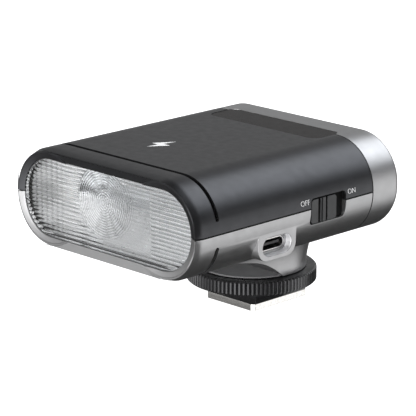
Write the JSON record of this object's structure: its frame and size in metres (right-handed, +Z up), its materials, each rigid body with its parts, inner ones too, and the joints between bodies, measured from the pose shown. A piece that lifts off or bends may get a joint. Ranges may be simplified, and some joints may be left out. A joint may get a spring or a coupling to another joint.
{
  "type": "speedlight flash",
  "caption": "Compact on-camera speedlight with a wide ribbed lens, two-part casing, sliding power switch, USB-C charging socket, locking ring and hot shoe foot.",
  "frame": {"origin": "on the locking ring's axis, at the underside of the shoe foot, where the foot sits in the shoe", "axes": "+Z up through the body, -Y towards the lens, +X towards the switch and the charging socket"},
  "size_m": [0.0694, 0.0801, 0.0486],
  "materials": {
    "black_anodised": "matte anodised",
    "silver_anodised": "satin",
    "lens_plastic": "clear ribbed plastic",
    "gasket_rubber": "matte",
    "reflector_sheet": "polished",
    "tube_glass": "clear",
    "sleeve_silicone": "matte",
    "window_plastic": "dark red tint",
    "sensor_epoxy": "clear",
    "knob_plastic": "satin",
    "switch_steel": "satin",
    "board_laminate": "solder mask",
    "socket_steel": "satin",
    "insulator_plastic": "satin",
    "ring_anodised": "satin",
    "washer_plastic": "matte",
    "foot_steel": "satin",
    "contact_brass": "satin",
    "spring_steel": "satin",
    "screw_steel": "satin",
    "test_plastic": "satin",
    "light_pipe": "clear",
    "capacitor_sleeve": "satin",
    "battery_pouch": "satin",
    "winding_copper": "enamelled wire",
    "chip_epoxy": "matte"
  },
  "bodies": {
    "body": {"top_shell": "black_anodised", "bottom_shell": "silver_anodised", "rear_cover": "silver_anodised", "front_lens": "lens_plastic", "lens_gasket": "gasket_rubber", "reflector": "reflector_sheet", "flash_tube": "tube_glass", "tube_electrodes": "spring_steel", "tube_sleeves": "sleeve_silicone", "optical_window": "window_plastic", "slave_sensor": "sensor_epoxy", "slide_switch": "switch_steel", "switch_board": "board_laminate", "usb_socket": "socket_steel", "usb_tongue": "insulator_plastic", "usb_board": "board_laminate", "shoe_stem": "black_anodised", "shoe_foot": "foot_steel", "foot_insulator": "insulator_plastic", "foot_screws": "screw_steel", "neck_screws": "screw_steel", "shell_screws": "screw_steel", "dial_encoder": "chip_epoxy", "key_switches": "chip_epoxy", "level_lights": "light_pipe", "control_board": "board_laminate", "main_board": "board_laminate", "main_capacitor": "capacitor_sleeve", "battery_cell": "battery_pouch", "charge_transformer": "winding_copper", "trigger_coil": "winding_copper", "power_transistor": "chip_epoxy", "signal_chips": "chip_epoxy"},
    "power_knob": {"power_knob": "knob_plastic"},
    "clamp_washer": {"clamp_washer": "washer_plastic"},
    "locking_ring": {"locking_ring": "ring_anodised"},
    "power_dial": {"power_dial": "knob_plastic"},
    "test_button": {"test_button": "test_plastic"},
    "mode_button": {"mode_button": "knob_plastic"},
    "centre_contact": {"centre_contact": "contact_brass", "contact_spring": "spring_steel"}
  },
  "joints": [
    {"name": "power_slide", "type": "slide", "parent": "body", "child": "power_knob", "axis": [0, 1, 0], "range_m": [0, 0.0032]},
    {"name": "ring_turn", "type": "hinge", "parent": "clamp_washer", "child": "locking_ring", "pos_m": [0, 0, 0.008], "axis": [0, 0, -1], "range_deg": [0, 360]},
    {"name": "clamp_slide", "type": "slide", "parent": "body", "child": "clamp_washer", "axis": [0, 0, -1], "range_m": [0, 0.0025]},
    {"name": "dial_turn", "type": "hinge", "parent": "body", "child": "power_dial", "pos_m": [0.018, 0.0221, 0.0351], "axis": [0, 1, 0], "continuous": true},
    {"name": "test_press", "type": "slide", "parent": "body", "child": "test_button", "axis": [0, -1, 0], "range_m": [0, 0.0007], "stiffness_N_per_m": 300},
    {"name": "mode_press", "type": "slide", "parent": "body", "child": "mode_button", "axis": [0, -1, 0], "range_m": [0, 0.0007], "stiffness_N_per_m": 300},
    {"name": "contact_press", "type": "slide", "parent": "body", "child": "centre_contact", "axis": [0, 0, 1], "range_m": [0, 0.0007], "stiffness_N_per_m": 200}
  ],
  "couplings": [
    {"joint": "ring_turn", "follows": "clamp_slide", "rad_per_m": 2513.3}
  ]
}
